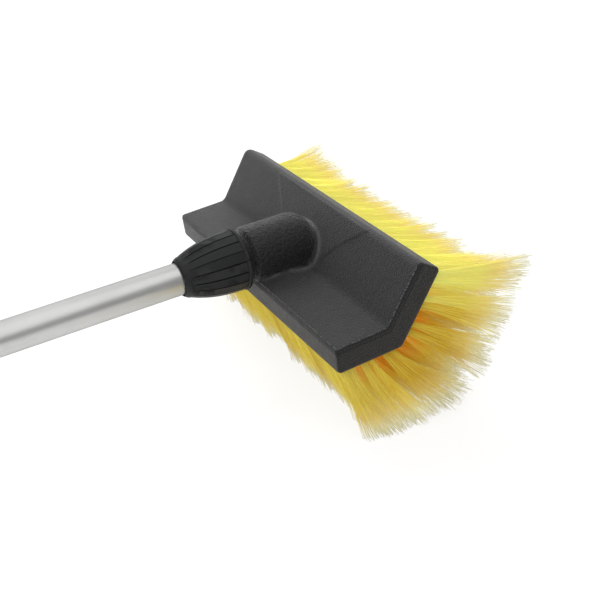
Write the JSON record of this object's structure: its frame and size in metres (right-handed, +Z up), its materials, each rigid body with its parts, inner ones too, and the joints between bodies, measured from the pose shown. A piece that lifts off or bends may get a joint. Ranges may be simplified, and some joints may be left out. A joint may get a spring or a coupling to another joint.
{
  "type": "wash broom",
  "caption": "Flow-through wash broom: an angled head of soft bristles, clamped by a ribbed collar nut on a straight aluminium pole with a grip and shut-off valve.",
  "frame": {"origin": "middle of the broom's underside as it lies on a floor, on its heel bristles and the rim of its valve", "axes": "+X along the brush block, +Y from the hose end to the brush, +Z up"},
  "size_m": [0.2798, 1.1762, 0.1183],
  "materials": {
    "block_plastic": "dark grey moulded plastic with a fine pebble grain",
    "nut_plastic": "black satin moulded plastic",
    "black_rubber": "black sealing rubber",
    "collet_plastic": "off-white acetal",
    "spray_plastic": "dark grey moulded plastic",
    "bristle_yellow": "soft yellow filaments with frayed pale tips",
    "tube_aluminium": "satin anodised",
    "grip_rubber": "black soft rubber, matt",
    "valve_plastic": "black moulded plastic",
    "seat_plastic": "white sliding plastic",
    "valve_brass": "polished brass",
    "lever_yellow": "yellow moulded plastic",
    "screw_steel": "plain steel"
  },
  "bodies": {
    "head": {"brush_block": "block_plastic", "spray_bar": "spray_plastic", "lower_bristles_1": "bristle_yellow", "lower_bristles_2": "bristle_yellow", "lower_bristles_3": "bristle_yellow", "upper_bristles_1": "bristle_yellow", "upper_bristles_2": "bristle_yellow", "upper_bristles_3": "bristle_yellow", "socket_seal": "black_rubber", "clamp_collet": "collet_plastic"},
    "slip": {"slip_ring": "collet_plastic"},
    "nut": {"collar_nut": "nut_plastic"},
    "pole": {"handle_tube": "tube_aluminium", "grip_sleeve": "grip_rubber", "valve_body": "valve_plastic", "ball_seat_front": "seat_plastic", "ball_seat_rear": "seat_plastic", "hose_connector": "valve_plastic", "tube_ring": "black_rubber", "hose_ring": "black_rubber", "stem_ring": "black_rubber"},
    "lever": {"valve_lever": "lever_yellow", "lever_screw": "screw_steel", "valve_stem": "valve_brass", "valve_ball": "valve_brass"}
  },
  "joints": [
    {"name": "slip_slide", "type": "slide", "parent": "head", "child": "slip", "axis": [0, -0.9975, -0.0704], "range_m": [0, 0.006]},
    {"name": "nut_turn", "type": "hinge", "parent": "slip", "child": "nut", "pos_m": [0, 0.4406, 0.08736], "axis": [0, -0.9975, -0.0704], "range_deg": [0, 720]},
    {"name": "pole_turn", "type": "hinge", "parent": "head", "child": "pole", "pos_m": [0, 0.48548, 0.09053], "axis": [0, -0.9975, -0.0704], "continuous": true},
    {"name": "lever_turn", "type": "hinge", "parent": "pole", "child": "lever", "pos_m": [0, -0.53797, 0.01833], "axis": [0, -0.0704, 0.9975], "range_deg": [0, 90]}
  ],
  "couplings": [
    {"joint": "slip_slide", "follows": "nut_turn", "m_per_rad": 0.000477}
  ]
}
